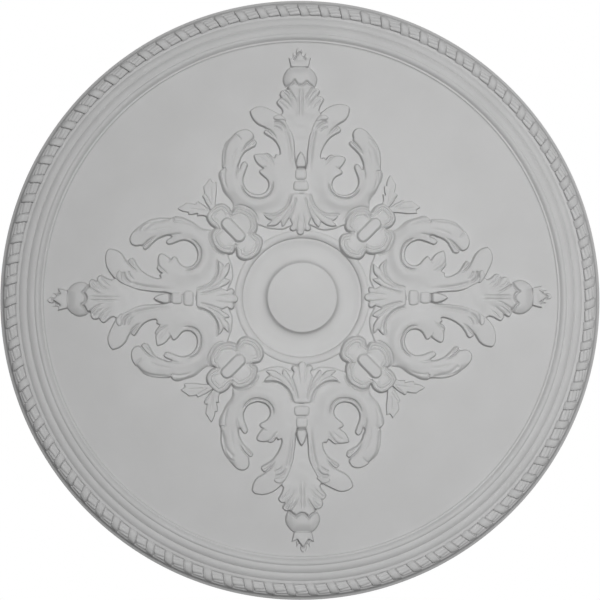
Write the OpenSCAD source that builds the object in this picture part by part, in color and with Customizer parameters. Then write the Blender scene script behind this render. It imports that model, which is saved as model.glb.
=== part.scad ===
// A moulded ceiling rose, fixed face down: its flat back lies on z = 0 and its carving faces -Z.
// The carving is drawn face up, with its own height over the flat field, and then turned over.

/* [Plate] */
// Outer radius of the rose
rose_r = 689; // [500:1:900]
// Thickness of the flat field
field_t = 18; // [14:0.5:30]

/* [Border] */
// Width of the rounded outer edge
edge_w = 12; // [8:0.5:16]
// Width of the half round that carries the ribbons
rope_w = 23; // [16:0.5:30]
// Rise of the half round over its fillet
rope_rise = 6.5; // [3:0.5:10]
// Width of the flat fillet inside the half round
fillet_w = 7; // [4:0.5:12]
// Height of the fillet over the field
fillet_h = 3; // [1:0.5:4]
// Width of each of the two plain beads
bead_w = 17; // [12:0.5:22]
// Rise of each plain bead over its own foot
bead_rise = 2.5; // [1:0.5:4]
// Width of the inner lip, the highest moulding
lip_w = 16; // [12:0.5:24]
// Height of the inner lip over the field
lip_h = 11; // [9:0.5:14]
// Width of the cove between the lip and the field
cove_w = 12; // [8:0.5:20]
// Height of the cove over the field
cove_h = 3.5; // [2:0.5:5]

/* [Centre] */
// Radius of the flat seat for a light's canopy
seat_r = 81; // [50:1:95]
// Height of the seat over the field
seat_h = 7.5; // [4:0.5:10]
// Radius where the dish round the seat is deepest
dish_r = 115; // [105:1:120]
// Depth of the dish below the field
dish_d = 9; // [5:0.5:10]
// Inner radius of the ring round the dish
ring_in_r = 134; // [125:1:140]
// Outer radius of the ring
ring_r = 155; // [148:1:160]
// Height of the ring over the field
ring_h = 4.5; // [2:0.5:8]

/* [Carving] */
// Gap between the arms' tips and the cove
tip_gap = 5; // [2:0.5:30]
// Height of the leaves over the field
leaf_h = 10; // [6:0.5:14]
// Height of the scroll bodies over the field
scroll_h = 12; // [6:0.5:15]
// Height of the fruit at each arm's tip
fruit_h = 15; // [8:0.5:18]
// Height of the crown on the fruit
crown_h = 7; // [4:0.5:10]
// Height of the rosette petals
petal_h = 9; // [6:0.5:12]
// Height of the bar across each rosette
bar_h = 14; // [10:0.5:18]
// Share of a leaf's height that stands as its steep edge
edge_share = 0.65; // [0.4:0.05:0.85]

/* [Hidden] */
$fn = 180;
arms = 4;
arc_steps = 6;          // straight stretches in a quarter of a moulding's curve
sink = 6;               // how far the carving's foot lies below the field
shelf_d = 4;            // depth of the shelf inside the ring below the field
back_round = 2;         // chamfer round the back

border_w = edge_w + rope_w + fillet_w + 2 * bead_w + lip_w + cove_w;
field_r = rose_r - border_w;
reach = field_r - tip_gap;

// The arm's points, on the right of its axis; y runs out from the rose's centre.
// Each row is one station of a strip: one edge's x and y, then the other edge's.
stem_leaf = [
    [21, 285, 46, 285], [17, 320, 47, 320], [16, 345, 52, 342], [18, 368, 62, 360],
    [24, 392, 76, 372], [34, 411, 88, 383], [48, 424, 90, 396], [64, 437, 101, 402],
    [82, 445, 110, 411], [100, 446, 117, 423], [114, 440, 119, 431]];
scroll = [
    [19, 300, 52, 300], [21, 272, 74, 268], [25, 240, 74, 256], [36, 200, 79, 245],
    [58, 168, 90, 238], [92, 170, 104, 237], [122, 196, 119, 243], [150, 212, 127, 253],
    [170, 236, 131, 266], [185, 264, 131, 280], [190, 288, 128, 296]];
outer_leaf = [
    [184, 280, 133, 284], [185, 305, 142, 303], [184, 330, 136, 326], [177, 353, 123, 342],
    [163, 374, 110, 355], [145, 389, 112, 366], [129, 392, 115, 378], [121, 388, 117, 383]];
curl_lobe = [[131, 280, 143, 280], [125, 300, 141, 300], [128, 311, 136, 311]];
inner_leaf = [
    [46, 298, 66, 266], [52, 322, 84, 279], [66, 328, 95, 291], [84, 331, 96, 303],
    [99, 329, 103, 313], [108, 326, 107, 320]];
bead_lobe = [[24, 388, 32, 378], [33, 410, 44, 396], [46, 422, 54, 404], [60, 418, 64, 410]];
foot_leaf = [
    [4, 242, 0, 222], [19, 238, 6, 205], [26, 222, 14, 190], [37, 204, 28, 178],
    [56, 193, 46, 168], [74, 191, 68, 163], [87, 189, 82, 169]];
foot_lobe = [[12, 215, 2, 210], [24, 190, 10, 188], [34, 174, 22, 173], [43, 163, 36, 161]];
corner_leaf = [
    [205, 214, 213, 196], [220, 224, 226, 191], [233, 227, 243, 192], [246, 223, 256, 192],
    [258, 220, 265, 200], [270, 213, 271, 204], [278, 209, 277, 205]];

// Half widths and y of what is even about the arm's axis
finial = [
    [9, 338], [12, 358], [18, 380], [27, 402], [37, 424], [48, 443], [55, 454], [51, 464],
    [43, 468], [48, 475], [44, 483], [32, 488], [20, 496]];
foot_middle = [[10, 238], [9, 215], [8, 192], [9, 176], [16, 166], [23, 156], [12, 150], [5, 144]];
crown = [[-22, 526], [-28, 556], [-13, 549], [-1, 566], [11, 549], [25, 557], [19, 526]];
crown_back = [[-17, 543], [-18, 568], [-8, 567], [-5, 580], [4, 580], [7, 567], [15, 570], [14, 543]];
// Radius and y of the turned bud and its two beads
bud = [
    [0, 338], [8, 322], [11, 308], [8, 298], [13, 290], [13, 276], [10, 270], [17, 264],
    [17, 250], [11, 243], [0, 243]];
bud_sink = 5;           // how far the bud's axis lies below the field
bud_room = 25;          // more than the bud's radius and depth

fruit_r = 39;
fruit_y = 500;
fruit_top_y = 532;      // where the crown cuts the fruit
fruit_ball_r = (fruit_r * fruit_r + fruit_h * fruit_h) / (2 * fruit_h);

rosette_u = 221;        // distance of a rosette's middle from the rose's centre
petal_r = 30;
petal_out = 47;         // petals along the diagonal, from the rosette's middle
petal_side = 36;        // petals across the diagonal
bar_len = 64;
bar_w = 30;

function near(p, i) = p[max(0, min(len(p) - 1, i))];
function catmull(a, b, c, d, t) =
    0.5 * (2 * b + (c - a) * t + (2 * a - 5 * b + 4 * c - d) * t * t
    + (3 * b - a - 3 * c + d) * t * t * t);
// A smooth curve of n stretches through the points p
function spline(p, n) = [for (k = [0:n])
    let (u = k * (len(p) - 1) / n, i = min(floor(u), len(p) - 2))
    catmull(near(p, i - 1), near(p, i), near(p, i + 1), near(p, i + 2), u - i)];
function even(half) = [for (h = half) [-h[0], h[1], h[0], h[1]]];
function mid_x(row) = (row[0] + row[2]) / 2;
function mid_y(row) = (row[1] + row[3]) / 2;
// Twice the signed area between a strip's edges, which tells its two sides apart
function turn(rows) = let (a = rows[0], b = rows[len(rows) - 1])
    (mid_x(b) - mid_x(a)) * (a[3] - a[1]) - (mid_y(b) - mid_y(a)) * (a[2] - a[0]);
function swapped(rows) = [for (r = rows) [r[2], r[3], r[0], r[1]]];

// A convex curve from a to b that rises by h over their chord
function half_round(a, b, h) = [for (k = [0:2 * arc_steps])
    let (q = 90 * k / arc_steps)
    a + (b - a) * (1 - cos(q)) / 2 + [0, h * sin(q)]];
// A quarter curve from a, level there, to b, upright there
function level_first(a, b) = [for (k = [0:arc_steps])
    let (q = 90 * k / arc_steps) [a[0] + (b[0] - a[0]) * sin(q), a[1] + (b[1] - a[1]) * (1 - cos(q))]];
// A quarter curve from a, upright there, to b, level there
function upright_first(a, b) = [for (k = [0:arc_steps])
    let (q = 90 * k / arc_steps) [a[0] + (b[0] - a[0]) * (1 - cos(q)), a[1] + (b[1] - a[1]) * sin(q)]];

// Radius and height over the field, from the centre out
function section() =
    let (
        lip_r = field_r + cove_w,
        bead_r = lip_r + lip_w,
        fillet_r = bead_r + 2 * bead_w,
        rope_r = fillet_r + fillet_w,
        edge_r = rope_r + rope_w,
        bead_mid = (lip_h - 2 + fillet_h) / 2 - 1)
    concat(
        [[0, -field_t], [0, seat_h], [seat_r - 1, seat_h]],
        upright_first([seat_r, seat_h - 1], [dish_r, -dish_d]),
        [[ring_in_r - 10, -shelf_d - 2], [ring_in_r - 6, -shelf_d]],
        half_round([ring_in_r, -shelf_d], [ring_r, 0], ring_h),
        level_first([field_r, 0], [lip_r - 4, cove_h]),
        upright_first([lip_r, cove_h], [lip_r + lip_w / 2, lip_h]),
        [[bead_r - 4, lip_h], [bead_r - 1, lip_h - 2]],
        half_round([bead_r, lip_h - 2.5], [bead_r + bead_w, bead_mid], bead_rise),
        half_round([bead_r + bead_w + 0.5, bead_mid], [fillet_r, fillet_h], bead_rise),
        half_round([rope_r, fillet_h], [edge_r, fillet_h - 1], rope_rise),
        level_first([edge_r + 1, fillet_h - 1], [rose_r, 2 * back_round - field_t]),
        [[rose_r, back_round - field_t], [rose_r - back_round, -field_t]]);

module plate() rotate_extrude() polygon(section());

// A leaf, lobe or scroll between two curved edges: steep edges, and a crest along its middle
module strip(rows, steps, h) {
    p = spline(turn(rows) < 0 ? rows : swapped(rows), steps);
    points = [for (r = p) each [
        [r[0], r[1], -sink], [r[0], r[1], h * edge_share], [mid_x(r), mid_y(r), h],
        [r[2], r[3], h * edge_share], [r[2], r[3], -sink]]];
    last = 5 * steps;
    sides = [for (i = [0:steps - 1], j = [0:4])
        let (a = 5 * i + j, b = 5 * i + (j + 1) % 5) each [[a, a + 5, b + 5], [a, b + 5, b]]];
    polyhedron(points, concat(sides, [[0, 1, 2], [0, 2, 3], [0, 3, 4]],
        [[last, last + 2, last + 1], [last, last + 3, last + 2], [last, last + 4, last + 3]]));
}

module half_arm() {
    strip(scroll, 9, scroll_h);
    strip(stem_leaf, 8, leaf_h);
    strip(outer_leaf, 7, leaf_h);
    strip(curl_lobe, 3, leaf_h + 1);
    strip(inner_leaf, 5, leaf_h - 1);
    strip(bead_lobe, 3, leaf_h + 2);
    strip(foot_leaf, 6, scroll_h + 1);
    strip(foot_lobe, 3, scroll_h);
}

module fruit() {
    translate([0, fruit_y, 0]) intersection() {
        translate([0, 0, fruit_h - fruit_ball_r]) sphere(fruit_ball_r, $fn = 16);
        translate([-fruit_r, -fruit_r, -sink]) cube([2 * fruit_r, fruit_r + fruit_top_y - fruit_y, sink + fruit_h]);
    }
    translate([0, 0, -sink]) {
        linear_extrude(sink + crown_h) polygon(crown);
        linear_extrude(sink + crown_h / 2) polygon(crown_back);
    }
}

// The bud and its beads are turned on the arm's axis, and cut off level with the carving's foot
module turned_bud() difference() {
    translate([0, 0, -bud_sink]) rotate([-90, 0, 0]) rotate_extrude($fn = 10) polygon(bud);
    translate([-bud_room, 0, -bud_room - sink]) cube([2 * bud_room, fruit_y, bud_room]);
}

module arm() {
    for (side = [0, 1]) mirror([side, 0, 0]) half_arm();
    strip(even(finial), 12, leaf_h - 1);
    strip(even(foot_middle), 7, scroll_h + 2);
    fruit();
    turned_bud();
}

module petal(u, v) translate([u, v, -sink]) rotate_extrude($fn = 14) polygon([
    [0, 0], [0, sink + petal_h / 2], [petal_r * 0.7, sink + petal_h],
    [petal_r, sink + petal_h / 2], [petal_r, 0]]);

// One rosette on the diagonal, with its two small leaves
module rosette() {
    rotate(45) translate([rosette_u, 0, 0]) {
        for (s = [-1, 1]) {
            petal(s * petal_out, 0);
            petal(0, s * petal_side);
        }
        translate([0, 0, -sink]) linear_extrude(sink + bar_h) union() {
            square([bar_len - bar_w, bar_w], center = true);
            for (s = [-1, 1]) translate([s * (bar_len - bar_w) / 2, 0]) circle(bar_w / 2, $fn = 12);
        }
    }
    strip(corner_leaf, 5, leaf_h - 2);
    strip([for (r = corner_leaf) [r[1], r[0], r[3], r[2]]], 5, leaf_h - 2);
}

// All the carving, from arm tip to arm tip, fitted into the field
module carving() resize([2 * reach, 2 * reach, 0]) for (k = [0:arms - 1]) rotate(360 * k / arms) {
    arm();
    rosette();
}

module face_up() {
    plate();
    carving();
}

// The rose as it hangs: back on z = 0, face down
module ceiling_rose() color([0.77, 0.77, 0.76]) rotate([0, 180, 0]) translate([0, 0, field_t]) face_up();

ceiling_rose();
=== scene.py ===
import bpy
import math
import numpy as np
from mathutils import Matrix, Vector
from mathutils.geometry import delaunay_2d_cdt


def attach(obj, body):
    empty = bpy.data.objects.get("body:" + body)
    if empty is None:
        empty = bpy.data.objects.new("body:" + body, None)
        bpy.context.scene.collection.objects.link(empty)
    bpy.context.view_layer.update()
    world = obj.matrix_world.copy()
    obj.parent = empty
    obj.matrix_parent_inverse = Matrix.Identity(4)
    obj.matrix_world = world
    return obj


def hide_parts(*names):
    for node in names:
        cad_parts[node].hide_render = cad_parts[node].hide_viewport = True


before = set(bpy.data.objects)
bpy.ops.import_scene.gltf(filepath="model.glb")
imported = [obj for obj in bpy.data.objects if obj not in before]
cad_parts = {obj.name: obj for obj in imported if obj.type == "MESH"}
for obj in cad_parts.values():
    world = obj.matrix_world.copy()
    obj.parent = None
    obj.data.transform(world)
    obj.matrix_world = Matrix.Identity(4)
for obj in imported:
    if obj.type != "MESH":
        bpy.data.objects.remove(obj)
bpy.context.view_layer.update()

# Everything is drawn face up in mm: x right and y up as one looks at the rose, z above its plain field.
fieldLevel = 18.0  # of the plain field over the back
mmPerMetre = 1000
arms = 4
lean = math.radians(0.35)  # of the drawing and of the camera
drawingScale = 0.998
drawingShift = (-2.3, -1.7)  # of the carving from the middle of the rim
relief = 1.28  # makes all carving deeper
strokeStrength = 1.9  # makes grooves and ridges deeper
strokeStep = 2.0  # between points of a stroke's line
strokeMargin = 2.0  # strokes fade out this close to an edge
wallCurve = 1.2  # above 1, a carved wall rounds over towards its top
batch = 4000  # points measured at a time
rowShare = 0.866  # rows of a net of even triangles


def toWorld(points):
    p = np.asarray(points, dtype=float)
    return np.stack([-p[:, 0], p[:, 1], -(p[:, 2] + fieldLevel)], axis=1) / mmPerMetre


def upright(points):
    # The drawing leans a little, so it is turned straight before use.
    c, s = math.cos(lean) * drawingScale, math.sin(lean) * drawingScale
    return [(x * c + y * s, y * c - x * s, *rest) for x, y, *rest in points]


def bend(p0, p1, p2, p3, t):
    # Centripetal curve from p1 to p2.
    k = [0.0]
    for a, b in ((p0, p1), (p1, p2), (p2, p3)):
        k.append(k[-1] + max(float(np.linalg.norm(b - a)), 1e-6) ** 0.5)
    u = (k[1] + (k[2] - k[1]) * t)[:, None]
    a1 = (k[1] - u) / (k[1] - k[0]) * p0 + (u - k[0]) / (k[1] - k[0]) * p1
    a2 = (k[2] - u) / (k[2] - k[1]) * p1 + (u - k[1]) / (k[2] - k[1]) * p2
    a3 = (k[3] - u) / (k[3] - k[2]) * p2 + (u - k[2]) / (k[3] - k[2]) * p3
    b1 = (k[2] - u) / (k[2] - k[0]) * a1 + (u - k[0]) / (k[2] - k[0]) * a2
    b2 = (k[3] - u) / (k[3] - k[1]) * a2 + (u - k[1]) / (k[3] - k[1]) * a3
    return (k[2] - u) / (k[2] - k[1]) * b1 + (u - k[1]) / (k[2] - k[1]) * b2


def curve(points, step, closed=False):
    # A third number on a point makes it a corner.
    p = [np.array(q[:2], dtype=float) for q in points]
    corner = [len(q) > 2 for q in points]
    n = len(p)
    out = []
    for i in range(n if closed else n - 1):
        j = (i + 1) % n
        a, b = p[i], p[j]
        before = p[i - 1] if (closed or i > 0) and not corner[i] else 2 * a - b
        after = p[(i + 2) % n] if (closed or i < n - 2) and not corner[j] else 2 * b - a
        straight = corner[i] and corner[j]
        length = float(np.linalg.norm(b - a))
        pieces = 1 if straight and not closed else max(1, int(math.ceil(length / step)))
        out.append(bend(before, a, b, after, np.arange(pieces) / pieces))
    if not closed:
        out.append(p[-1][None])
    return np.concatenate(out)


def nearest(points, line, closed=False):
    # Distance from each point to a line of segments, and how far along it that is. Taken in batches.
    a = line if closed else line[:-1]
    b = np.roll(line, -1, axis=0) if closed else line[1:]
    d = b - a
    size = np.maximum((d ** 2).sum(1), 1e-12)
    away = np.empty(len(points))
    along = np.empty(len(points))
    start = np.concatenate([[0], np.cumsum(np.sqrt(size))])
    for k in range(0, len(points), batch):
        q = points[k:k + batch]
        rel = q[:, None, :] - a[None]
        t = np.clip((rel * d[None]).sum(2) / size, 0, 1)
        gap = rel - t[:, :, None] * d[None]
        dist = (gap ** 2).sum(2)
        i = dist.argmin(1)
        row = np.arange(len(q))
        away[k:k + batch] = np.sqrt(dist[row, i])
        along[k:k + batch] = (start[i] + t[row, i] * np.sqrt(size[i])) / start[-1]
    return away, along


def inside(points, line):
    # Whether each point lies within a closed line.
    x, y = points[:, 0], points[:, 1]
    hit = np.zeros(len(points), dtype=bool)
    for (ax, ay), (bx, by) in zip(line, np.roll(line, -1, axis=0)):
        if ay == by:
            continue
        hit ^= ((ay > y) != (by > y)) & (x < (bx - ax) * (y - ay) / (by - ay) + ax)
    return hit


def smooth(t):
    t = np.clip(t, 0, 1)
    return t * t * (3 - 2 * t)


def quarter(t):
    t = np.clip(t, 0, 1)
    return np.sqrt(1 - (1 - t) ** 2)


def turnOf(a, b, c):
    # Above zero where the corner a, b, c turns left.
    return (b[0] - a[0]) * (c[1] - a[1]) - (b[1] - a[1]) * (c[0] - a[0])


def lengthwise(along, ends):
    # A stroke's strength along its run: it swells in over the first share and fades over the last.
    first, last = ends
    rise = smooth(along / first) if first else 1.0
    fall = smooth((1 - along) / last) if last else 1.0
    return rise * fall


# What a carved form is given where it doesn't say otherwise, in mm.
usual = {
    "step": 1.8,  # between points of the outline
    "grid": 3.0,  # between points of the net inside it
    "offsets": (0.35, 1.0, 2.0, 3.3, 5.0, 7.0),  # of the rows that follow the outline
    "reach": 14.0,
    "low": 0.0,
    "foot": -5.0,
    "ball": False,
    "strokes": (),
    "rings": (),
}

# How the net of a carved form is laid, in mm.
net = {
    "sparse": (4.5, 8.0),  # between these offsets every other point is left out
    "offsetShare": 0.93,  # a row keeps a point that stands this share of its offset from every edge
    "rows": (0, -0.5, 0.5, -1.0, 1.0, -1.7, 1.7),  # rows along a stroke, in widths
    "rowStep": 1.5,
    "narrow": 5.0,  # wider strokes need no rows of their own
    "clearance": 1.2,
    "crowd": 0.8,  # the side of the cells that hold one point each
}


def surface(form, xy, edge):
    # The height of a carved form at each point: rounded walls, then a domed top, then its strokes.
    spots = np.array(upright(form["heights"]))
    gap = ((xy[:, None, :] - spots[None, :, :2]) ** 2).sum(2)
    weight = 1 / (gap + form["reach"] ** 2) ** 2
    top = (weight * spots[None, :, 2]).sum(1) / weight.sum(1)
    wall, share, dome = form["edge"]
    low = form["low"]
    crest = 1 - (1 - np.clip(edge / dome, 0, 1)) ** 2 if form["ball"] else quarter(edge / dome)
    rise = share * (1 - (1 - np.clip(edge / wall, 0, 1)) ** wallCurve) + (1 - share) * crest
    z = low + (top - low) * rise
    for line, depth, width, ends in form["strokes"]:
        away, along = nearest(xy, curve(upright(line), strokeStep))
        strength = depth * strokeStrength * lengthwise(along, ends) * smooth(edge / strokeMargin)
        z = z + strength * np.exp(-(away / width) ** 2)
    for at, width, depth in form["rings"]:
        z = z + depth * np.exp(-((edge - at) / width) ** 2)
    return z * relief


def carve(form):
    # One closed shell: a fine net over the outline, rounded edges, a skirt down and a flat underside.
    form = {**usual, **form}
    line = curve(upright(form["outline"]), form["step"], closed=True)
    if (line[:, 0] * np.roll(line[:, 1], -1) - np.roll(line[:, 0], -1) * line[:, 1]).sum() < 0:
        line = line[::-1].copy()
    n = len(line)
    tangent = np.roll(line, -1, axis=0) - np.roll(line, 1, axis=0)
    tangent /= np.maximum(np.linalg.norm(tangent, axis=1), 1e-9)[:, None]
    inward = np.stack([-tangent[:, 1], tangent[:, 0]], axis=1)
    parts = [line]
    edges = [np.zeros(n)]
    for path, _, width, _ in form["strokes"]:
        # Rows of points along a narrow stroke, so the net follows it.
        if width > net["narrow"]:
            continue
        run = curve(upright(path), net["rowStep"])
        along = np.gradient(run, axis=0)
        along /= np.linalg.norm(along, axis=1)[:, None]
        across = np.stack([-along[:, 1], along[:, 0]], axis=1)
        rows = np.concatenate([run + across * width * k for k in net["rows"]])
        rows = rows[inside(rows, line)]
        away, _ = nearest(rows, line, closed=True)
        parts.append(rows[away > net["clearance"]])
        edges.append(away[away > net["clearance"]])
    for offset in form["offsets"]:
        ring = line + inward * offset
        away, _ = nearest(ring, line, closed=True)
        keep = (away > offset * net["offsetShare"]) & inside(ring, line)
        if net["sparse"][0] < offset < net["sparse"][1]:
            keep &= np.arange(n) % 2 == 0
        parts.append(ring[keep])
        edges.append(away[keep])
    grid = form["grid"]
    low, high = line.min(0), line.max(0)
    ys = np.arange(low[1], high[1], grid * rowShare)
    xs = np.arange(low[0], high[0], grid)
    staggered = [np.stack([xs + (i % 2) * grid / 2, np.full(len(xs), y)], axis=1) for i, y in enumerate(ys)]
    middle = np.concatenate(staggered)
    middle = middle[inside(middle, line)]
    away, _ = nearest(middle, line, closed=True)
    deep = away > form["offsets"][-1] + net["clearance"]
    parts.append(middle[deep])
    edges.append(away[deep])
    xy = np.concatenate(parts)
    edge = np.concatenate(edges)
    # Where points crowd, the first one stays.
    _, first = np.unique(np.floor(xy / net["crowd"]), axis=0, return_index=True)
    first = np.sort(np.concatenate([np.arange(n), first[first >= n]]))
    xy, edge = xy[first], edge[first]
    found = delaunay_2d_cdt([Vector(p) for p in xy], [], [list(range(n))], 1, 1e-5)
    flat, triangles, source = found[0], found[2], found[3]
    origin = [s[0] if s else 0 for s in source]
    flatXy = np.array([(v.x, v.y) for v in flat])
    z = surface(form, xy, edge)[origin]
    top = np.column_stack([flatXy, z])
    faces = []
    for t in triangles:
        faces.append(tuple(t) if turnOf(*flatXy[list(t)]) > 0 else tuple(reversed(t)))
    rim = {s: i for i, s in enumerate(origin) if s < n}
    loop = [rim[i] for i in range(n) if i in rim]
    base = len(top)
    under = np.column_stack([flatXy[loop], np.full(len(loop), form["foot"])])
    for i in range(len(loop)):
        j = (i + 1) % len(loop)
        faces.append((loop[j], loop[i], base + i, base + j))
    closed = delaunay_2d_cdt([Vector(p[:2]) for p in under], [], [list(range(len(under)))], 1, 1e-5)
    index = [s[0] for s in closed[3]]
    for t in closed[2]:
        ids = [index[i] for i in t]
        ids = ids if turnOf(*under[ids]) < 0 else ids[::-1]
        faces.append(tuple(base + i for i in ids))
    return np.concatenate([top, under]), faces


def gather(shells):
    # Several closed shells as one piece.
    points, faces = [], []
    count = 0
    for p, f in shells:
        points.append(p)
        faces.extend(tuple(i + count for i in face) for face in f)
        count += len(p)
    return np.concatenate(points), faces


def spun(points, quarterTurns):
    # Turned about the rose's axis.
    a = quarterTurns * math.pi / 2
    c, s = round(math.cos(a)), round(math.sin(a))
    x, y, z = points.T
    return np.stack([x * c - y * s, x * s + y * c, z], axis=1)


# Wraps a shader socket, so that node maths reads as plain sums.
class Wire:
    def __init__(self, tree, socket=None):
        self.tree = tree
        self.socket = socket

    def make(self, kind, inputs=None, settings=None, out=0):
        node = self.tree.nodes.new(kind)
        for name, value in (settings or {}).items():
            setattr(node, name, value)
        for name, value in (inputs or {}).items():
            if isinstance(value, Wire):
                self.tree.links.new(value.socket, node.inputs[name])
            else:
                node.inputs[name].default_value = value
        return Wire(self.tree, node.outputs[out] if node.outputs else None)

    def combine(self, operation, other):
        return self.make("ShaderNodeMath", {0: self, 1: other}, {"operation": operation})

    def __add__(self, other):
        return self.combine("ADD", other)

    def __mul__(self, other):
        return self.combine("MULTIPLY", other)

    def larger(self, other):
        return self.combine("MAXIMUM", other)

    def mix(self, first, second):
        # Blends two colours by this value.
        return self.make("ShaderNodeMix", {0: self, 6: first, 7: second}, {"data_type": "RGBA"}, out=2)


# The matte primer: a pale grey that clouds slightly, with a fine grain. Sizes are in metres.
finish = {
    "colour": (0.547, 0.547, 0.547, 1),
    "shade": (0.507, 0.507, 0.505, 1),  # of the darkest clouds
    "roughness": 0.62,
    "roughnessSpread": 0.12,
    "refraction": 1.45,
    "sheen": 0.3,
    "cloudSize": 0.09,
    "cloudDetail": 4.0,
    "cloudRange": (0.3, 0.7),
    "cloudTint": 0.5,
    "cloudRoughness": 0.6,
    "grainSize": 0.0016,
    "grainDetail": 3.0,
    "grainRange": (0.35, 0.65),
    "grainTint": 0.12,
    "grainRoughness": 0.4,
    "grainHeight": 0.00006,
}


def noise(start, place, size, detail, span):
    # Raw noise, and the same noise stretched so that span fills 0 to 1.
    raw = start.make("ShaderNodeTexNoise", {"Vector": place, "Scale": 1 / size, "Detail": detail})
    low, high = span
    return raw, start.make("ShaderNodeMapRange", {"Value": raw, "From Min": low, "From Max": high})


def primer(name, look):
    material = bpy.data.materials.new(name)
    material.use_nodes = True
    tree = material.node_tree
    tree.nodes.clear()
    start = Wire(tree)
    place = start.make("ShaderNodeTexCoord", out="Object")
    _, blotch = noise(start, place, look["cloudSize"], look["cloudDetail"], look["cloudRange"])
    grain, speck = noise(start, place, look["grainSize"], look["grainDetail"], look["grainRange"])
    share = blotch * look["cloudTint"] + speck * look["grainTint"]
    colour = share.mix(look["colour"], look["shade"])
    spread = look["roughnessSpread"]
    wear = blotch * look["cloudRoughness"] + speck * look["grainRoughness"]
    rough = wear * spread + (look["roughness"] - spread / 2)
    bump = start.make("ShaderNodeBump", {
        "Strength": 1.0, "Distance": look["grainHeight"], "Height": grain})
    shader = start.make("ShaderNodeBsdfPrincipled", {
        "Base Color": colour, "Roughness": rough, "Normal": bump,
        "IOR": look["refraction"], "Specular IOR Level": look["sheen"]})
    start.make("ShaderNodeOutputMaterial", {"Surface": shader})
    return material


primerCoat = primer("matte primer", finish)


def addPiece(name, points, faces, sharp=38):
    # Edges that turn by more than sharp, in degrees, stay crisp.
    mesh = bpy.data.meshes.new(name)
    mesh.from_pydata([tuple(p) for p in toWorld(points)], [], faces)
    mesh.validate()
    mesh.polygons.foreach_set("use_smooth", [True] * len(mesh.polygons))
    mesh.set_sharp_from_angle(angle=math.radians(sharp))
    mesh.materials.append(primerCoat)
    mesh.update()
    piece = bpy.data.objects.new(name, mesh)
    bpy.context.scene.collection.objects.link(piece)
    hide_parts("ceiling_rose")
    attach(piece, "root")
    print(name, sum(len(f.vertices) - 2 for f in mesh.polygons), "triangles")


# The turned plate. Its section is given as radius and height over the field; a third number marks a corner.
plate = {
    "around": 435,
    "step": 1.3,
    "seat": [(0, 7.5, 1), (77.2, 7.5, 1), (78.8, 6.8), (80.2, 4.8)],
    "dish": [(81.8, 1.6), (84.0, -1.8), (87.2, -4.6), (91.5, -6.6), (98.5, -8.2), (106.8, -8.8),
             (114.8, -8.9), (121, -8.2), (127, -6.6), (131, -5.3, 1), (135.6, -5.1, 1)],
    "ring": [(136.6, -1.0), (139, 1.6), (143, 3.8), (147.6, 4.5), (151.4, 3.7), (153.6, 1.8), (154.2, 0, 1)],
    "field": [(250, 0, 1), (360, 0, 1), (480, 0, 1), (581.6, 0, 1)],
    "cove": [(585, 0.3), (587.4, 1.4), (588.5, 3.6, 1), (592.2, 3.7, 1)],
    "lip": [(593.7, 5.6), (596.3, 8.8), (599.6, 10.8), (602.6, 11), (604.5, 10.6, 1), (606.1, 9),
            (608.1, 8.8, 1)],
    "beads": [(609.8, 9.4), (614.1, 9.8), (618.8, 8.7), (622.6, 6.6), (624.9, 4.9, 1), (626.8, 6.4),
              (631.4, 7.4), (636.5, 6.6), (640.5, 4.6), (642.6, 3, 1)],
    "fillet": [(648.8, 3, 1), (649.9, -0.5, 1), (674.2, -0.5, 1)],
    "edge": [(676.6, -2), (678.6, -5.4), (680.8, -10.4), (683, -13.2), (685.8, -15), (688.2, -16.4),
             (689, -17.4, 1), (687.6, -18, 1)],
    "back": [(480, -18, 1), (240, -18, 1), (0, -18, 1)],
}


def turnedPlate(look):
    mouldings = ("seat", "dish", "ring", "field", "cove", "lip", "beads", "fillet", "edge", "back")
    line = curve([q for key in mouldings for q in look[key]], look["step"])
    n = look["around"]
    angle = np.arange(n) * 2 * math.pi / n
    r, z = line[1:-1, 0], line[1:-1, 1]
    rings = [np.stack([a * np.cos(angle), a * np.sin(angle), np.full(n, b)], axis=1) for a, b in zip(r, z)]
    points = np.concatenate([[(0, 0, line[0, 1])], *rings, [(0, 0, line[-1, 1])]])
    faces = [(0, 1 + i, 1 + (i + 1) % n) for i in range(n)]
    for k in range(len(r) - 1):
        a = 1 + k * n
        for i in range(n):
            j = (i + 1) % n
            faces.append((a + i, a + n + i, a + n + j, a + j))
    last = 1 + (len(r) - 1) * n
    end = len(points) - 1
    faces += [(end, last + (i + 1) % n, last + i) for i in range(n)]
    return points, faces


# The half round of the rim: reeds bound by a slanting ribbon. Radii, heights and depths are in mm, and
# places along the rim are in turns of the ribbon.
rim = {
    "turns": 87,
    "across": 27,  # facets over the half round
    "radius": 661.0,
    "halfWidth": 11.8,
    "foot": 0.3,
    "rise": 8.5,
    "overlap": 0.12,  # how far the half round runs on below the plate, in radians
    "sink": -3.0,  # height of its buried foot, in mm
    "bandShare": 0.4,  # of a turn that the ribbon covers
    "bandHeight": 2.3,
    "bandLean": 0.45,  # how much higher its leading side stands
    "bandEdge": (0.012, 0.024),  # how far the ribbon's edge lies out, and over what width it falls
    "seamDepth": 3.2,
    "seamPlace": (0.018, 0.022),  # middle and width, from the ribbon's edge outwards
    "hemDepth": 0.9,
    "hemPlace": (0.055, 0.016),  # middle and width, from the ribbon's edge inwards
    "slant": -0.1,  # of the seams, in turns from the middle to either side
    "phase": 0.89,
    "reeds": 3,
    "reedDepth": 2.6,
    "reedTwist": 0.75,
    "reedStart": 0.1,
    "reedRoundness": 0.6,
    "seamSamples": (-0.085, -0.07, -0.055, -0.04, -0.025, -0.01, 0.004, 0.018, 0.032, 0.05, 0.075),
    "ribbonSamples": (0.03, 0.08),
    "reedSamples": (0.33, 0.38, 0.43, 0.48),
}


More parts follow.
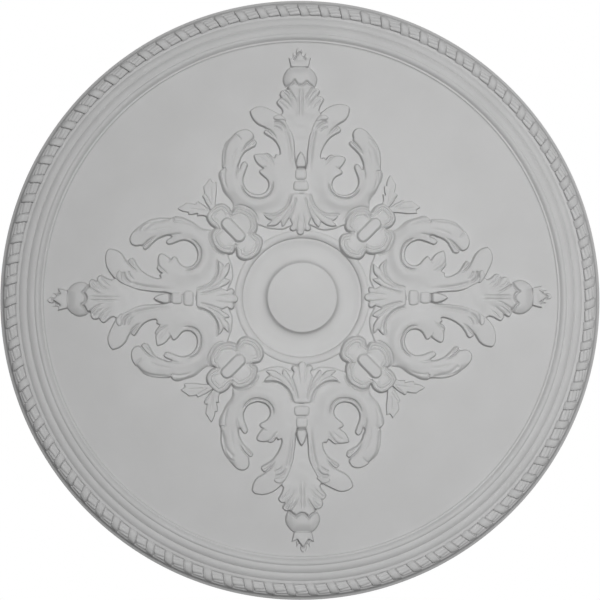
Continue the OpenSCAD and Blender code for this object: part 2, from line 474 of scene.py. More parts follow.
def boundRim(look):
    # Samples lie close together at the ribbon's seams and run along them.
    facets = look["across"]
    half = look["bandShare"] / 2
    near = [half + d for d in look["seamSamples"]]
    side = np.array([*look["ribbonSamples"], *near, *look["reedSamples"]])
    within = np.concatenate([0.5 - side[::-1], 0.5 + side])
    n = look["turns"] * len(within)
    count = (np.arange(look["turns"])[:, None] + within[None, :]).reshape(-1, 1)
    phi = np.linspace(-look["overlap"], math.pi + look["overlap"], facets + 1)[None, :]
    centre = np.abs(count % 1.0 - 0.5)
    margin, blur = look["bandEdge"]
    band = smooth((half + margin - centre) / blur)
    middle, width = look["seamPlace"]
    seam = np.exp(-((centre - half - middle) / width) ** 2)
    middle, width = look["hemPlace"]
    hem = np.exp(-((centre - half + middle) / width) ** 2)
    gap = (count % 1.0 + 0.5) % 1.0 - 0.5
    tip = 1 + look["bandLean"] * (count % 1.0 - 0.5) / half
    wave = np.sin(look["reeds"] * (phi - look["reedStart"] + look["reedTwist"] * gap))
    reed = np.abs(wave) ** look["reedRoundness"]
    bulge = (band * (look["bandHeight"] * tip - look["hemDepth"] * hem) - seam * look["seamDepth"]
             - (1 - band) * look["reedDepth"] * (1 - reed))
    r = look["radius"] - (look["halfWidth"] + bulge) * np.cos(phi)
    z = look["foot"] + (look["rise"] + bulge) * np.sin(phi)
    angle = (count + look["slant"] * np.cos(phi) - look["phase"]) / look["turns"] * 2 * math.pi
    grid = np.stack([r * np.cos(angle), r * np.sin(angle), z], axis=2)
    buried = []
    for k in (facets, 0):
        a = angle[:, k]
        edge = look["radius"] + (look["halfWidth"] if k else -look["halfWidth"])
        foot = np.stack([edge * np.cos(a), edge * np.sin(a), np.full(n, look["sink"])], axis=1)
        buried.append(foot[:, None])
    points = np.concatenate([grid, *buried], axis=1)
    w = facets + 3
    faces = []
    for i in range(n):
        j = (i + 1) % n
        for k in range(w):
            a, b = k, (k + 1) % w
            faces.append((i * w + a, i * w + b, j * w + b, j * w + a))
    return points.reshape(-1, 3), faces


# A carved form is an outline, spots of height (x, y, height) that the top passes near, the distance over
# which they blend ("reach"), and strokes: a line, its depth (below zero for a groove), its width, and the
# shares of its run over which it fades in and out. "edge" gives the width of the wall, its share of the
# height and the width of the dome behind it; "ball" makes that dome fall off as a ball does; "low" is where
# the wall starts and "foot" is the underside. "rings" run round inside the edge: their distance from it,
# width and height.

# One half of an arm: stem, upper leaf, rolled scroll, outer leaf with its sheath and inner leaf in one form.
armRight = {
    "outline": [
        (8, 296), (12, 312), (12, 325), (13, 340), (14.5, 350), (17, 370), (20, 380), (24, 392), (28, 402),
        (33, 411), (38, 419), (44, 426), (52, 433), (60, 439), (68, 443), (77, 446), (87, 447.5), (97, 447),
        (105, 445), (110, 441.5), (113, 437, 1), (112, 430), (110, 421), (106, 414), (100, 407), (92, 402),
        (84, 397.5, 1), (88, 394.5), (91.5, 389), (92, 385), (88, 380), (80, 376), (72, 371), (65, 365),
        (58, 356), (52, 346), (48, 336), (45.5, 326), (46, 321, 1), (50, 323.5), (53, 324.5), (55, 322),
        (56, 319, 1), (57, 322), (62, 327), (67, 330), (72, 330), (78, 328.5), (84, 328.5), (93, 327.5),
        (100, 324.5), (102.5, 320), (102, 316), (99, 310), (95, 304), (91, 299), (89, 297, 1), (93, 295),
        (95, 292), (95, 287), (92, 283.5), (86, 280.5), (80, 277), (75, 271), (73, 266), (72, 260),
        (73, 254), (76, 248), (82, 242), (90, 239), (100, 237.5), (110, 240), (118, 244), (124, 250),
        (128, 257), (130, 263), (130, 270), (129, 277), (126, 285), (123, 293), (121, 300), (122, 305),
        (125, 308.5), (130, 309), (134, 306), (137, 301.5), (139.5, 297, 1), (141.5, 301.5), (141.5, 306),
        (140, 312), (137, 320), (133, 328), (128, 334), (122, 340), (116, 346), (111, 351), (109, 356),
        (112, 361), (117.5, 362, 1), (118.5, 368), (117, 375), (118, 381), (121, 387), (127, 391),
        (134, 392.5), (143, 390), (152, 384), (160, 376), (168, 366), (174, 357), (179, 347), (182, 338),
        (184, 328), (184.5, 318), (184, 305), (183.5, 297, 1), (188, 287), (188, 280), (186, 272),
        (182, 263), (178, 255), (173, 245), (168, 237), (163, 230), (159, 222), (157, 212), (156, 198),
        (148, 188), (130, 178), (108, 170), (90, 163.6), (75, 158), (56, 155), (42, 156.5), (26, 164),
        (10, 170), (2, 176, 1), (2, 240), (5, 270)],
    "heights": [
        (100, 432, 9), (80, 425, 10), (62, 412, 10.5), (45, 400, 10), (38, 380, 10), (80, 388, 8),
        (30, 350, 9.5), (45, 355, 8.5), (22, 320, 9), (34, 330, 10), (38, 300, 10), (22, 280, 8),
        (50, 280, 11), (60, 300, 10.5), (80, 310, 9), (95, 315, 7.5), (88, 289, 8.5), (40, 255, 9.5),
        (25, 240, 8), (60, 240, 10.5), (68, 262, 9.5), (80, 236, 10), (100, 231, 10), (118, 237, 10),
        (132, 252, 10), (135, 275, 9.5), (128, 300, 8), (30, 200, 6.0), (60, 190, 5.2), (100, 185, 5.4),
        (130, 190, 6), (45, 170, 4.8), (80, 168, 4.6), (150, 250, 10.5), (155, 285, 11), (160, 315, 11),
        (158, 345, 11), (140, 375, 9.5), (128, 382, 9), (115, 355, 7.5), (132, 335, 8.5), (174, 320, 9.5),
        (178, 280, 11.5), (168, 250, 11.5), (158, 228, 8), (150, 205, 6)],
    "reach": 12.0,
    "edge": (3.5, 0.85, 22.0),
    "strokes": [
        ([(70, 300), (58, 280), (53, 262), (58, 238), (75, 221), (100, 213), (125, 218), (143, 236),
          (152, 262), (154, 290), (150, 325)], 1.8, 13, (0.25, 0.35)),
        ([(64, 268), (64, 255), (67, 246), (72, 240), (80, 234), (90, 230), (100, 228.5), (108, 229),
          (116, 232), (122, 236), (127, 241), (131, 247), (132, 254)], -2.5, 1.6, (0.15, 0.12)),
        ([(34, 387), (30, 376), (27, 362), (24, 345), (22, 325), (20.5, 305), (21, 280)],
         -2.2, 3.4, (0.1, 0.6)),
        ([(60, 404), (50, 402.5), (42, 398), (36, 391), (32, 380)], -2.8, 2.6, (0.1, 0.5)),
        ([(61, 393), (53, 391), (46, 386), (41, 377)], -1.6, 2.0, (0.1, 0.5)),
        ([(84, 397), (76, 391), (68, 383), (62, 375), (57, 366)], -2.4, 1.9, (0.0, 0.6)),
        ([(86, 391), (78, 386), (71, 379), (66, 373)], -1.0, 1.6, (0.1, 0.5)),
        ([(56, 319), (60, 324), (64, 326)], -0.8, 1.8, (0.2, 0.3)),
        ([(84, 328.5), (75, 326.5), (69, 322), (63, 315), (57, 308), (51, 300)], -1.8, 2.4, (0.0, 0.5)),
        ([(89, 297), (82, 300), (76, 300)], -1.0, 2.0, (0.0, 0.6)),
        ([(117.5, 362), (123, 357), (130, 349), (136, 340), (142, 326)], -2.6, 1.9, (0.0, 0.5)),
        ([(113, 358), (119, 352), (126, 345), (132, 338)], -0.9, 1.6, (0.1, 0.5)),
        ([(142, 298), (144, 290), (145, 280), (144, 268)], -1.8, 2.6, (0.0, 0.6)),
        ([(149, 352), (153, 340), (156, 328), (158, 315), (159, 300), (159, 285)], -0.7, 2.6, (0.3, 0.4)),
        ([(148, 367), (155, 369), (162, 366), (169, 355), (174, 342), (177, 325), (178, 308), (177, 298)],
         -1.1, 2.4, (0.15, 0.2)),
        ([(153, 362), (160, 354), (166, 347), (170, 340), (173, 330), (175, 318), (175.5, 304)],
         -1.5, 3.6, (0.1, 0.3)),
        ([(183, 292), (178, 291), (173, 292)], -2.0, 2.0, (0.0, 0.2)),
        ([(172.5, 292), (174, 282), (172, 264), (167, 250), (160, 238)], -1.3, 2.6, (0.05, 0.6)),
        ([(146, 389), (160, 376), (174, 357), (182, 338), (184.5, 318), (184, 298)], -2.4, 6.0, (0.2, 0.05)),
        ([(187, 290), (188, 278), (182, 263), (173, 245), (163, 230), (157, 212)], -2.6, 6.0, (0.05, 0.1)),
        ([(17, 240), (21.5, 236), (25.7, 223), (31.8, 211.5), (41.2, 202), (53, 195), (65, 192.6),
          (78, 193.2), (89, 192)], -1.6, 1.7, (0.1, 0.05)),
        ([(97.3, 172), (100.3, 183.8), (106.7, 193.5), (116, 201.8), (126.5, 206.8), (137, 209.3),
          (147.5, 208.8), (155, 205), (160, 200)], -1.8, 1.8, (0.1, 0.0)),
    ],
}

beadRight = {
    "outline": [(36, 404), (44, 406.5), (50, 406.5), (57, 407), (62, 409.5), (63, 413), (60, 417.5),
                (54, 420.5), (46, 420.5), (38, 415), (33, 407)],
    "heights": [(38, 409, 11), (50, 414, 15), (58, 413, 15)],
    "edge": (2.4, 0.7, 6.0), "low": 7.5, "foot": 2.0, "step": 1.2,
}

# The other half, which the mould has slightly different.
armLeft = {
    "outline": [
        (-8, 296), (-12, 312), (-13, 325), (-14, 340), (-14.5, 355), (-17, 370), (-21, 381), (-27, 392),
        (-32, 402), (-38, 412), (-45, 420.5), (-52, 425), (-60, 429), (-70, 434), (-80, 438.5), (-90, 441),
        (-100, 440.5), (-110, 437), (-119, 430, 1), (-118, 423), (-114, 413), (-108, 405), (-100, 398),
        (-92, 394), (-85, 391), (-81, 388, 1), (-85, 384.5), (-87, 380), (-84, 376), (-75, 370), (-66, 364),
        (-60, 358), (-55, 350), (-51, 340), (-50, 331, 1), (-53, 329.5), (-58, 331), (-60, 328),
        (-62, 323, 1), (-66, 326), (-72, 331), (-79, 334), (-84, 332.5), (-90, 332.5), (-100, 331.5),
        (-107, 330), (-110, 327), (-109, 322), (-106, 314), (-100, 306), (-94, 301), (-89, 297, 1),
        (-95, 294.5), (-97, 290), (-95, 285), (-90, 280), (-84, 275), (-79, 270), (-76, 262), (-77, 253),
        (-82, 245), (-90, 240), (-100, 238.5), (-110, 240), (-118, 244), (-126, 252), (-131, 263),
        (-132, 273), (-130, 281), (-127, 290), (-124, 298), (-122, 305), (-125, 311), (-130, 314),
        (-136, 310.5), (-139.5, 304), (-141.5, 297, 1), (-143.5, 301), (-142.8, 305), (-140, 311),
        (-138, 318), (-133, 328), (-127, 335), (-120, 339), (-112, 344), (-106, 347), (-103, 352),
        (-102, 358), (-105, 363), (-110, 365.5, 1), (-108, 370), (-109, 376), (-114, 383), (-122, 387),
        (-130, 388), (-140, 386), (-150, 381), (-160, 373), (-170, 363), (-176, 353), (-180, 342),
        (-182, 330), (-183, 315), (-183, 304), (-181, 297, 1), (-186, 292), (-190, 285), (-190, 278),
        (-187, 268), (-184, 258), (-181, 248), (-176, 238), (-170, 230), (-163, 222), (-158, 213),
        (-157, 199), (-148, 188), (-130, 178), (-108, 170), (-90, 164), (-75, 159), (-56, 156.5),
        (-42, 156.5), (-26, 163), (-10, 170), (-2, 176, 1), (-2, 240), (-5, 270)],
    "heights": [
        (-100, 428, 9), (-80, 422, 10), (-62, 410, 10.5), (-45, 398, 10), (-38, 378, 10), (-80, 383, 8),
        (-30, 350, 9.5), (-45, 355, 8.5), (-22, 320, 9), (-34, 330, 10), (-38, 300, 10), (-22, 280, 8),
        (-50, 280, 11), (-60, 300, 10.5), (-80, 312, 9), (-100, 320, 7.5), (-90, 289, 8.5), (-40, 255, 9.5),
        (-25, 240, 8), (-60, 240, 10.5), (-70, 262, 9.5), (-80, 236, 10), (-100, 231, 10), (-118, 237, 10),
        (-134, 252, 10), (-137, 275, 9.5), (-130, 300, 8), (-30, 200, 6.0), (-60, 190, 5.2),
        (-100, 185, 5.4), (-130, 190, 6), (-45, 170, 4.8), (-80, 168, 4.6), (-152, 250, 10.5),
        (-157, 285, 11), (-162, 315, 11), (-158, 345, 11), (-140, 372, 9.5), (-124, 378, 9),
        (-110, 355, 7.5), (-130, 343, 8.5), (-174, 320, 9.5), (-180, 278, 11.5), (-170, 250, 11.5),
        (-160, 228, 8), (-150, 205, 6)],
    "reach": 12.0,
    "edge": (3.5, 0.85, 22.0),
    "strokes": [
        ([(-70, 300), (-58, 280), (-53, 262), (-58, 238), (-75, 221), (-100, 213), (-125, 218), (-143, 236),
          (-153, 262), (-155, 290), (-151, 325)], 1.8, 13, (0.25, 0.35)),
        ([(-66, 270), (-66, 260), (-67, 250), (-71, 240), (-78, 233), (-88, 228.5), (-100, 228),
          (-110, 229.5), (-120, 233), (-128, 240), (-134, 250), (-137, 262)], -2.5, 1.6, (0.15, 0.12)),
        ([(-37, 387), (-32, 373), (-29, 360), (-26, 345), (-24, 330), (-22, 305), (-22, 280)],
         -2.2, 3.4, (0.1, 0.6)),
        ([(-59, 403), (-50, 402.5), (-43, 398), (-38, 391), (-34, 380)], -3.2, 2.6, (0.0, 0.5)),
        ([(-62, 394), (-54, 391), (-47, 386), (-42, 378)], -1.8, 2.2, (0.1, 0.5)),
        ([(-80, 388), (-73, 385), (-66, 378), (-60, 370), (-56, 360)], -2.4, 1.9, (0.0, 0.6)),
        ([(-82, 384), (-75, 379), (-69, 373), (-64, 366)], -1.0, 1.6, (0.1, 0.5)),
        ([(-84, 332), (-76, 326), (-69, 317), (-64, 307), (-59, 300)], -1.8, 2.4, (0.0, 0.5)),
        ([(-62, 323), (-66, 327), (-70, 328)], -0.8, 1.8, (0.2, 0.3)),
        ([(-100, 325), (-85, 317), (-75, 308), (-68, 299)], -0.8, 2.4, (0.3, 0.4)),
        ([(-89, 297), (-83, 300), (-77, 299)], -1.0, 2.0, (0.0, 0.6)),
        ([(-110, 365), (-117, 359), (-126, 351), (-133, 341), (-140, 327)], -2.6, 1.9, (0.0, 0.5)),
        ([(-106, 359), (-113, 353), (-121, 346), (-128, 339)], -0.9, 1.6, (0.1, 0.5)),
        ([(-143, 298), (-145, 290), (-147, 280), (-146, 268)], -1.8, 2.6, (0.0, 0.6)),
        ([(-143, 346), (-150, 335), (-155, 322), (-158, 305), (-159, 288)], -0.9, 2.6, (0.2, 0.4)),
        ([(-137, 359), (-141, 366), (-146, 371), (-153, 374), (-162, 367), (-170, 354), (-175, 338),
          (-177, 318), (-177, 300)], -1.3, 2.4, (0.1, 0.2)),
        ([(-182, 297), (-177, 296), (-172, 297)], -2.0, 2.0, (0.0, 0.2)),
        ([(-173, 296), (-176, 284), (-175, 266), (-170, 251), (-163, 239)], -1.3, 2.6, (0.05, 0.6)),
        ([(-146, 384), (-160, 373), (-173, 358), (-180, 342), (-183, 320), (-183, 298)],
         -2.4, 6.0, (0.2, 0.05)),
        ([(-188, 290), (-190, 279), (-185, 261), (-177, 240), (-163, 222), (-157, 206)],
         -2.6, 6.0, (0.05, 0.1)),
        ([(-21, 240), (-25.7, 235), (-28.7, 222.5), (-34.5, 211.3), (-44, 201.8), (-54.5, 195), (-66, 192.2),
          (-78, 192.2), (-90, 194)], -1.6, 1.7, (0.1, 0.05)),
        ([(-160, 201), (-155, 208), (-146.5, 211.5), (-137, 212), (-127, 209), (-117, 204), (-107.5, 196.5),
          (-101.5, 186), (-98.3, 174)], -1.8, 1.8, (0.0, 0.1)),
    ],
}

beadLeft = {
    "outline": [(-38, 406), (-44, 407), (-52, 406), (-60, 407), (-65, 410), (-65, 415), (-61, 418.5),
                (-55, 421), (-47, 420.5), (-40, 415), (-35, 409)],
    "heights": [(-40, 411, 11), (-52, 414, 15), (-60, 413, 15)],
    "edge": (2.4, 0.7, 6.0), "low": 7.5, "foot": 2.0, "step": 1.2,
}

# The palmette at the foot of an arm, spread over the two scrolls.
palmette = {
    "outline": [
        (-19, 241, 1), (15, 241, 1), (20, 235), (24, 222), (30, 210), (40, 200), (52, 193), (64, 190.5),
        (78, 191), (87, 190, 1), (83, 183), (78, 178), (74, 175, 1), (80, 170), (82, 165), (78, 163),
        (70, 162), (60, 164), (52, 168), (46, 172, 1), (44.5, 167), (42, 162), (38, 161), (32, 166),
        (27, 173), (23.5, 180, 1), (20.5, 173), (18.5, 168.5, 1), (22, 164), (22.5, 158), (19, 153.5),
        (14, 152), (9, 154, 1), (7, 148.5), (3, 144.5), (-2, 143), (-7, 144.5), (-11, 148.5), (-13, 154, 1),
        (-18, 152), (-23, 153.5), (-26.5, 158), (-26, 164), (-22.5, 168.5, 1), (-25, 173), (-28, 179, 1),
        (-33, 172), (-39, 164), (-45, 162), (-46.5, 167), (-48, 172, 1), (-53, 167), (-60, 163.5),
        (-70, 162.5), (-79, 164), (-79, 168), (-71, 176, 1), (-77, 179), (-84, 185), (-88, 192, 1),
        (-78, 190), (-66, 190), (-54, 193), (-43, 200), (-33, 210), (-27, 222), (-24, 234)],
    "heights": [
        (-2, 238, 14), (-2, 215, 14), (-2, 190, 13.5), (-2, 165, 12), (-2, 148, 10), (14, 215, 14),
        (-18, 215, 14), (30, 195, 14), (-34, 195, 14), (52, 182, 14), (-56, 182, 14), (78, 186, 13.6),
        (-80, 186, 13.6), (72, 167, 12.5), (-72, 167, 12.5), (38, 170, 12), (-42, 170, 12), (18, 156, 10),
        (-22, 156, 10)],
    "reach": 8.0, "low": 1.0, "foot": 0.0, "edge": (3.6, 0.85, 11.0), "step": 1.5, "grid": 2.4,
    "strokes": [
        ([(8, 232), (11, 218), (15, 203), (20, 188), (24, 178)], -1.9, 2.2, (0.15, 0.0)),
        ([(-12, 232), (-15, 218), (-19, 203), (-24, 188), (-28, 178)], -1.9, 2.2, (0.15, 0.0)),
        ([(15, 222), (22, 205), (31, 190), (40, 179), (46, 172)], -1.2, 2.0, (0.3, 0.0)),
        ([(-19, 222), (-26, 205), (-34, 190), (-43, 179), (-48, 172)], -1.2, 2.0, (0.3, 0.0)),
        ([(36, 198), (50, 187), (62, 181), (74, 176)], -1.0, 1.8, (0.4, 0.0)),
        ([(-38, 198), (-50, 187), (-61, 181), (-71, 176)], -1.0, 1.8, (0.4, 0.0)),
        ([(3, 200), (5, 180), (7, 165), (8, 151)], -1.2, 2.2, (0.5, 0.0)),
        ([(-7, 200), (-9, 180), (-11, 165), (-11, 153)], -1.2, 2.2, (0.5, 0.0)),
    ],
}

# The bud at the middle of an arm: bud, two beads and the stem they stand on.
budForms = [
    {"outline": [(-1, 337, 1), (4.8, 330), (9.4, 318), (11.2, 307), (8.3, 300), (-1, 298.5), (-10.3, 300),
                 (-13.2, 307), (-11.4, 318), (-6.8, 330)],
     "heights": [(-1, 310, 12)], "edge": (3.4, 0.7, 11.0), "low": 5.0, "foot": 0.0, "step": 1.1, "grid": 1.6},
    {"outline": [(-11.4, 295.5), (-1, 296.5), (9.4, 295.5), (12.9, 291), (13.8, 283), (12.9, 275),
                 (9.4, 270.8), (-1, 270), (-11.4, 270.8), (-14.9, 275), (-15.8, 283), (-14.9, 291)],
     "heights": [(-1, 283, 12)], "edge": (4.0, 0.7, 13.0), "low": 6.0, "foot": 2.0, "step": 1.2, "grid": 2.0},
    {"outline": [(-14.9, 268.6), (-1, 269.4), (12.9, 268.6), (17.1, 263), (18.3, 255), (16.9, 248),
                 (12.9, 244.8), (-1, 244.2), (-14.9, 244.8), (-18.9, 248), (-20.3, 255), (-19.1, 263)],
     "heights": [(-1, 256, 12.5)], "edge": (4.0, 0.7, 14.0), "low": 6.0, "foot": 2.0,
     "step": 1.2, "grid": 2.0},
    {"outline": [(-10.3, 300, 1), (8.3, 300, 1), (10.6, 272), (14.1, 238, 1), (-16.1, 238, 1), (-12.6, 272)],
     "heights": [(-1, 270, 7)], "edge": (3.0, 0.9, 8.0), "step": 2.0, "grid": 3.0},
]

# The finial at the head of an arm: leaf, fruit and crown.
finialLeaf = {
    "outline": [
        (-1, 318), (12, 322), (19, 338), (22, 356), (27, 376), (36, 396), (44, 414), (46, 424),
        (42, 431, 1), (45, 441), (50, 450), (53, 457), (50, 462), (45, 465.5), (39, 466, 1), (41, 469.5),
        (43, 473), (43, 478), (39, 482), (33, 484), (26, 483, 1), (20, 487), (15, 490.5), (12, 494, 1),
        (9, 490.5), (4, 487.5), (-1, 486.5), (-7, 487.5), (-12, 491), (-16, 497, 1), (-18.5, 492),
        (-24, 489), (-30, 486), (-33.5, 483.5), (-32, 480, 1), (-40, 479.5), (-47, 476), (-50, 470),
        (-49.5, 464), (-48, 460, 1), (-53, 457), (-57, 452), (-57, 447), (-53, 441), (-46, 433),
        (-44, 427, 1), (-48, 420), (-44, 406), (-36, 388), (-28, 370), (-24, 350), (-20, 332), (-13, 320)],
    "heights": [
        (-2, 484, 17), (-15, 491, 18), (11, 489, 18), (-28, 482, 15), (21, 481, 15.5), (-4, 468, 14),
        (-20, 472, 14), (14, 470, 14), (-43, 471, 9), (37, 477, 9), (-50, 450, 8), (46, 456, 8),
        (-2, 440, 10), (-25, 435, 8), (22, 435, 8), (-2, 410, 6.5), (-2, 380, 4), (-2, 355, 2),
        (-2, 330, 0.5), (30, 400, 5), (-32, 398, 5), (20, 350, 1.5), (-20, 348, 1.5)],
    "reach": 9.0, "edge": (3.2, 0.84, 12.0), "step": 1.5, "grid": 2.4,
    "strokes": [
        ([(-44, 474), (-36, 467), (-28, 456), (-22, 444)], -1.0, 1.5, (0.15, 0.4)),
        ([(-40, 477), (-32, 470), (-25, 460)], -0.7, 1.4, (0.15, 0.4)),
        ([(-53, 452), (-44, 446), (-35, 438), (-28, 428)], -1.0, 1.5, (0.15, 0.4)),
        ([(38, 479), (30, 472), (22, 461), (17, 450)], -1.0, 1.5, (0.15, 0.4)),
        ([(33, 483), (25, 474), (18, 463)], -0.7, 1.4, (0.15, 0.4)),
        ([(48, 457), (40, 450), (31, 441), (25, 431)], -1.0, 1.5, (0.15, 0.4)),
        ([(-6, 484), (-6, 460), (-6, 440), (-6, 408)], -1.3, 1.8, (0.2, 0.4)),
        ([(2, 484), (2, 460), (2, 440), (2, 408)], -1.3, 1.8, (0.2, 0.4)),
        ([(-34, 483), (-28, 476), (-21, 466), (-15, 455), (-12, 443)], -2.2, 2.0, (0.0, 0.5)),
        ([(-48, 460), (-36, 451), (-26, 441), (-19, 430)], -1.5, 2.2, (0.0, 0.5)),
        ([(27, 484), (17, 470), (10, 458), (8, 444)], -2.0, 2.0, (0.0, 0.5)),
        ([(39, 466), (29, 455), (21, 445), (15, 432)], -1.5, 2.2, (0.0, 0.5)),
    ],
}

fruit = {
    "outline": [(-34, 482), (-40, 491), (-43, 503), (-40, 515), (-33, 526), (-25, 532.5, 1), (18, 532.5, 1),
                (27, 525), (34, 515), (37, 503), (35, 492), (29, 482), (14, 470), (-4, 466), (-20, 470)],
    "heights": [(-3, 495, 12.5), (-3, 510, 13.5), (-3, 528, 11)],
    "edge": (3.0, 0.35, 24.0),
    "ball": True,
    "grid": 2.0,
    "step": 1.5,
    "strokes": [([(-36, 484), (-30, 488), (-24, 491), (-19.5, 494.5), (-16, 499.5), (-12, 493.5),
                  (-7, 489.7), (-1, 488.7), (4, 489.7), (9, 493), (12, 496.5), (16, 493), (21, 489.5),
                  (28, 484.5)], -3.2, 2.3, (0.0, 0.0))],
}

crownForms = [
    {"outline": [(-22, 530), (-24, 545), (-27.5, 553, 1), (-21, 553), (-19.5, 568, 1), (-15, 559),
                 (-12, 561), (-12.5, 568), (-10, 574.5), (-5, 577.5), (0, 574.5), (2.5, 568), (2, 561),
                 (6, 559), (11, 568, 1), (13, 553), (20.5, 553, 1), (17, 545), (15, 530)],
     "heights": [(-4, 545, 6.5), (-5, 571, 6), (-19, 562, 4.5), (10, 562, 4.5), (-24, 549, 3), (17, 549, 3)],
     "reach": 5.0, "edge": (1.9, 0.92, 6.0), "step": 1.1, "grid": 1.6,
     "strokes": [([(-16.5, 549), (-10.5, 558), (-4, 566), (3.2, 558), (9.5, 549)], -2.4, 1.6, (0.0, 0.0))]},
    {"outline": [(-23.5, 530, 1), (-27, 543), (-29.5, 555, 1), (-23, 550.5), (-16, 547, 1), (-10, 555.5),
                 (-4, 564, 1), (3, 555.5), (9, 547, 1), (16, 550.5), (22.5, 555, 1), (20, 543),
                 (16.5, 530, 1)],
     "heights": [(-4, 535, 9), (-4, 552, 12), (-26, 550, 9), (19, 550, 9)],
     "reach": 6.0, "edge": (1.9, 0.92, 6.0), "step": 1.1, "grid": 1.6},
]

# A rosette of four petals about a bar, and the two small leaves beyond it.
petals = {
    "outline": [
        (159.5, 199, 1), (154, 203.5), (147, 207), (137, 207.5), (127, 205), (117, 200), (108, 192),
        (102, 183), (99, 172), (99, 160), (103, 153.5), (109, 150.5, 1), (102, 149.5), (94, 147), (88, 140),
        (85, 130), (86, 117), (92, 106), (100, 97), (110, 91), (120, 88), (130, 87), (138, 90), (144, 95.5),
        (148, 103, 1), (154, 100.5), (163, 99), (175, 100), (185, 103), (195, 109), (202, 118), (207, 128),
        (210, 137), (209.5, 146), (206, 154), (198.5, 158.5, 1), (207, 163), (213, 170), (217, 178),
        (217, 187), (213, 197), (206, 206), (197, 214), (188, 218), (180, 217), (172, 213), (165, 207)],
    "heights": [(155, 156, 9.5), (140, 158, 10.5), (170, 152, 10.5), (120, 185, 12.5), (120, 110, 12.5),
                (190, 125, 12.5), (195, 195, 12.5)],
    "offsets": (0.35, 1.0, 2.0, 3.3, 4.6, 6, 7.3, 8.6, 10, 11.3,
                12.6, 14, 15.3, 16.6, 18, 19.3, 20.6, 22, 24),
    "rings": [(7.6, 1.6, 0.9), (10.7, 1.4, -1.8), (14.4, 1.6, 0.8), (18.0, 1.6, -1.3)],
    "edge": (4.4, 0.84, 9.0), "step": 1.5, "grid": 2.2,
    "strokes": [
        ([(159.5, 199), (157, 189), (154, 178)], -1.6, 1.9, (0.0, 0.5)),
        ([(198.5, 158.5), (190, 160), (181, 161)], -1.6, 1.9, (0.0, 0.5)),
        ([(109, 150.5), (120, 150.5), (131, 152)], -1.6, 1.9, (0.0, 0.5)),
        ([(148, 103), (148, 114), (149, 128)], -1.6, 1.9, (0.0, 0.5)),
    ],
}

# The bar across the rosette's middle.
bar = {
    "outline": [(125.5, 149), (133, 158), (143, 168), (153, 178), (162, 184.5), (171, 186), (181, 181),
                (186, 171), (184, 161.5), (174.5, 151), (162.5, 139), (152, 129), (142, 124), (131, 127.5),
                (124.5, 137)],
    "heights": [(155, 156, 18.2)], "low": 6.0, "foot": 2.0, "edge": (6.4, 0.82, 16.0),
    "step": 1.5, "grid": 2.2,
}

cornerLeaves = [
    {"outline": [
        (178, 205), (187, 222), (187.5, 231), (186.5, 239.5, 1), (192.5, 237, 1), (190, 248),
        (190, 259.5, 1), (195, 258, 1), (196.5, 268), (200, 277), (204.5, 283.5, 1), (209, 278), (213, 270),
        (218, 264, 1), (217.5, 255), (216, 247), (214.5, 242, 1), (219, 241), (222, 236, 1), (217, 228),
        (211, 219), (203, 210), (194, 202)],
     "heights": [(200, 225, 8), (204, 270, 7)], "edge": (2.1, 0.9, 9.0), "step": 1.3, "grid": 2.2,
     "strokes": [([(199, 212), (201, 228), (203, 246), (204, 262)], -0.6, 1.5, (0.1, 0.5)),
                 ([(202, 214), (209, 223), (216, 231), (221, 235)], -0.9, 1.5, (0.1, 0.0))]},
    {"outline": [
        (198, 206), (208, 212), (218, 219), (226, 222.5), (231, 225.5), (235.5, 226), (239, 221.5, 1),
        (247, 223.5), (255.5, 224, 1), (260, 220), (268, 214.5), (275, 209, 1), (269, 205), (265, 202, 1),
        (267.5, 194.5, 1), (256, 193.5), (243, 193.3), (233, 194.5), (223.5, 195.5), (210, 196),
        (198, 196)],
     "heights": [(222, 206, 8), (262, 208, 7)], "edge": (2.1, 0.9, 9.0), "step": 1.3, "grid": 2.2,
     "strokes": [([(212, 205), (221, 210), (229, 215), (237, 220)], -0.9, 1.5, (0.1, 0.1)),
                 ([(222, 205), (236, 206), (250, 207), (264, 208)], -0.7, 1.5, (0.1, 0.4))]},
]

armForms = (armRight, armLeft, beadRight, beadLeft, fruit, finialLeaf, *crownForms, *budForms, palmette)
arm = gather([carve(form) for form in armForms])
print("arm shaped")
rosette = gather([carve(form) for form in (*cornerLeaves, petals, bar)])
print("rosette shaped")

addPiece("rose_plate", *turnedPlate(plate))
addPiece("ribbon_rim", *boundRim(rim), sharp=50)
shift = np.array((*drawingShift, 0))
for k in range(arms):
    addPiece("arm_%d" % (k + 1), spun(arm[0], k) + shift, arm[1])
    addPiece("rosette_%d" % (k + 1), spun(rosette[0], k) + shift, rosette[1])

# Camera under the ceiling, looking up at the face. Metres from here on.
view = {
    "eye": (0.0844, -0.1028, -2.7600),
    "target": (0.0049, -0.0056, -0.01),
    "lens": 72.1,
    "sensor": 36,
    "farthest": 60,
}
cameraData = bpy.data.cameras.new("camera")
cameraData.lens = view["lens"]
cameraData.sensor_width = view["sensor"]
cameraData.clip_end = view["farthest"]
camera = bpy.data.objects.new("camera", cameraData)
eye = Vector(view["eye"])
forward = (Vector(view["target"]) - eye).normalized()
right = forward.cross(Vector((0, 1, 0))).normalized()
up = right.cross(forward)
turn = Matrix((right, up, -forward)).transposed()
camera.matrix_world = Matrix.Translation(eye) @ turn.to_4x4() @ Matrix.Rotation(-lean, 4, "Z")
bpy.context.scene.collection.objects.link(camera)
bpy.context.scene.camera = camera
bpy.context.scene.view_settings.view_transform = "Standard"


def lamp(name, place, aim, size, power, spread=180):
    light = bpy.data.lights.new(name, "AREA")
    light.shape = "DISK"
    light.size = size
    light.energy = power
    light.spread = math.radians(spread)
    holder = bpy.data.objects.new(name, light)
    holder.location = place
    holder.rotation_euler = (Vector(aim) - Vector(place)).to_track_quat("-Z", "Y").to_euler()
    bpy.context.scene.collection.objects.link(holder)


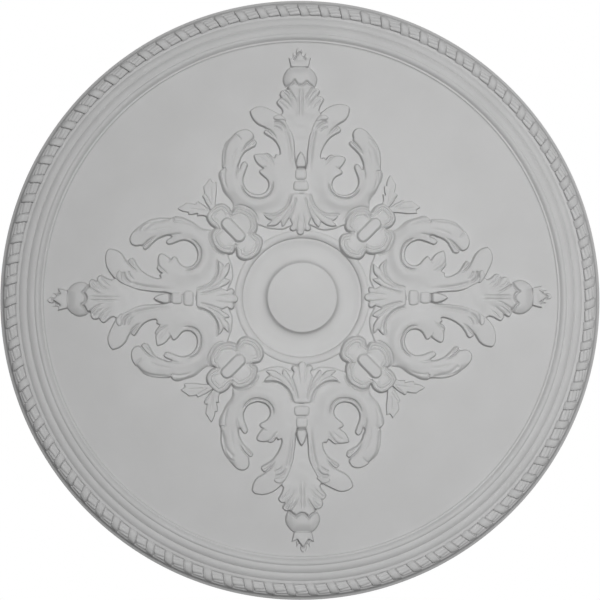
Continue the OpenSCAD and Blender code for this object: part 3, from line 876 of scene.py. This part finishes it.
lighting = {
    "keyDistance": 4.4,
    "keyTilt": 15,
    "keyTurn": 58,
    "keyAim": (-2.2, -1.65, 0),
    "keySize": 1.1,
    "keyPower": 147.5,
    "middlePlace": (0.45, 0.25, -2.6),
    "middleSize": 0.4,
    "middlePower": 0.22,
    "middleSpread": 32,
    "topPlace": (2.5, -4.0, 11.5),
    "topAim": (0, 0, -2),
    "topSize": 2.5,
    "topPower": 725,
    "ambient": 0.015,
}
tilt = math.radians(lighting["keyTilt"])
around = math.radians(lighting["keyTurn"])
away = lighting["keyDistance"]
keyPlace = (-away * math.sin(tilt) * math.cos(around), away * math.sin(tilt) * math.sin(around),
            -away * math.cos(tilt))
lamp("key lamp", keyPlace, lighting["keyAim"], lighting["keySize"], lighting["keyPower"])
lamp("middle lamp", lighting["middlePlace"], (0, 0, 0), lighting["middleSize"], lighting["middlePower"],
     lighting["middleSpread"])
lamp("top lamp", lighting["topPlace"], lighting["topAim"], lighting["topSize"], lighting["topPower"])
print("camera and lamps set")

world = bpy.data.worlds.new("room")
world.use_nodes = True
worldTree = world.node_tree
worldTree.nodes.clear()
sky = Wire(worldTree)
# Plain white to the eye and in reflections, and a faint even light on everything else.
rays = worldTree.nodes.new("ShaderNodeLightPath")
kinds = ("Is Camera Ray", "Is Glossy Ray", "Is Transmission Ray")
toCamera, toGloss, through = (Wire(worldTree, rays.outputs[kind]) for kind in kinds)
seen = toCamera.larger(toGloss).larger(through)
level = lighting["ambient"]
colour = seen.mix((level, level, level, 1), (1, 1, 1, 1))
glow = sky.make("ShaderNodeBackground", {"Color": colour, "Strength": 1.0})
sky.make("ShaderNodeOutputWorld", {"Surface": glow})
bpy.context.scene.world = world

ground = {"half": 12.0, "height": -4.9, "colour": (0.82, 0.82, 0.82, 1), "roughness": 0.9}
floorMesh = bpy.data.meshes.new("floor")
half = ground["half"]
corners = [(-half, -half, 0), (half, -half, 0), (half, half, 0), (-half, half, 0)]
floorMesh.from_pydata(corners, [], [(0, 1, 2, 3)])
floor = bpy.data.objects.new("floor", floorMesh)
floor.location = (0, 0, ground["height"])
floorCoat = bpy.data.materials.new("floor")
floorCoat.use_nodes = True
floorTree = floorCoat.node_tree
floorTree.nodes.clear()
floorStart = Wire(floorTree)
paint = floorStart.make("ShaderNodeBsdfPrincipled", {
    "Base Color": ground["colour"], "Roughness": ground["roughness"]})
floorStart.make("ShaderNodeOutputMaterial", {"Surface": paint})
floorMesh.materials.append(floorCoat)
bpy.context.scene.collection.objects.link(floor)
print("stage set")
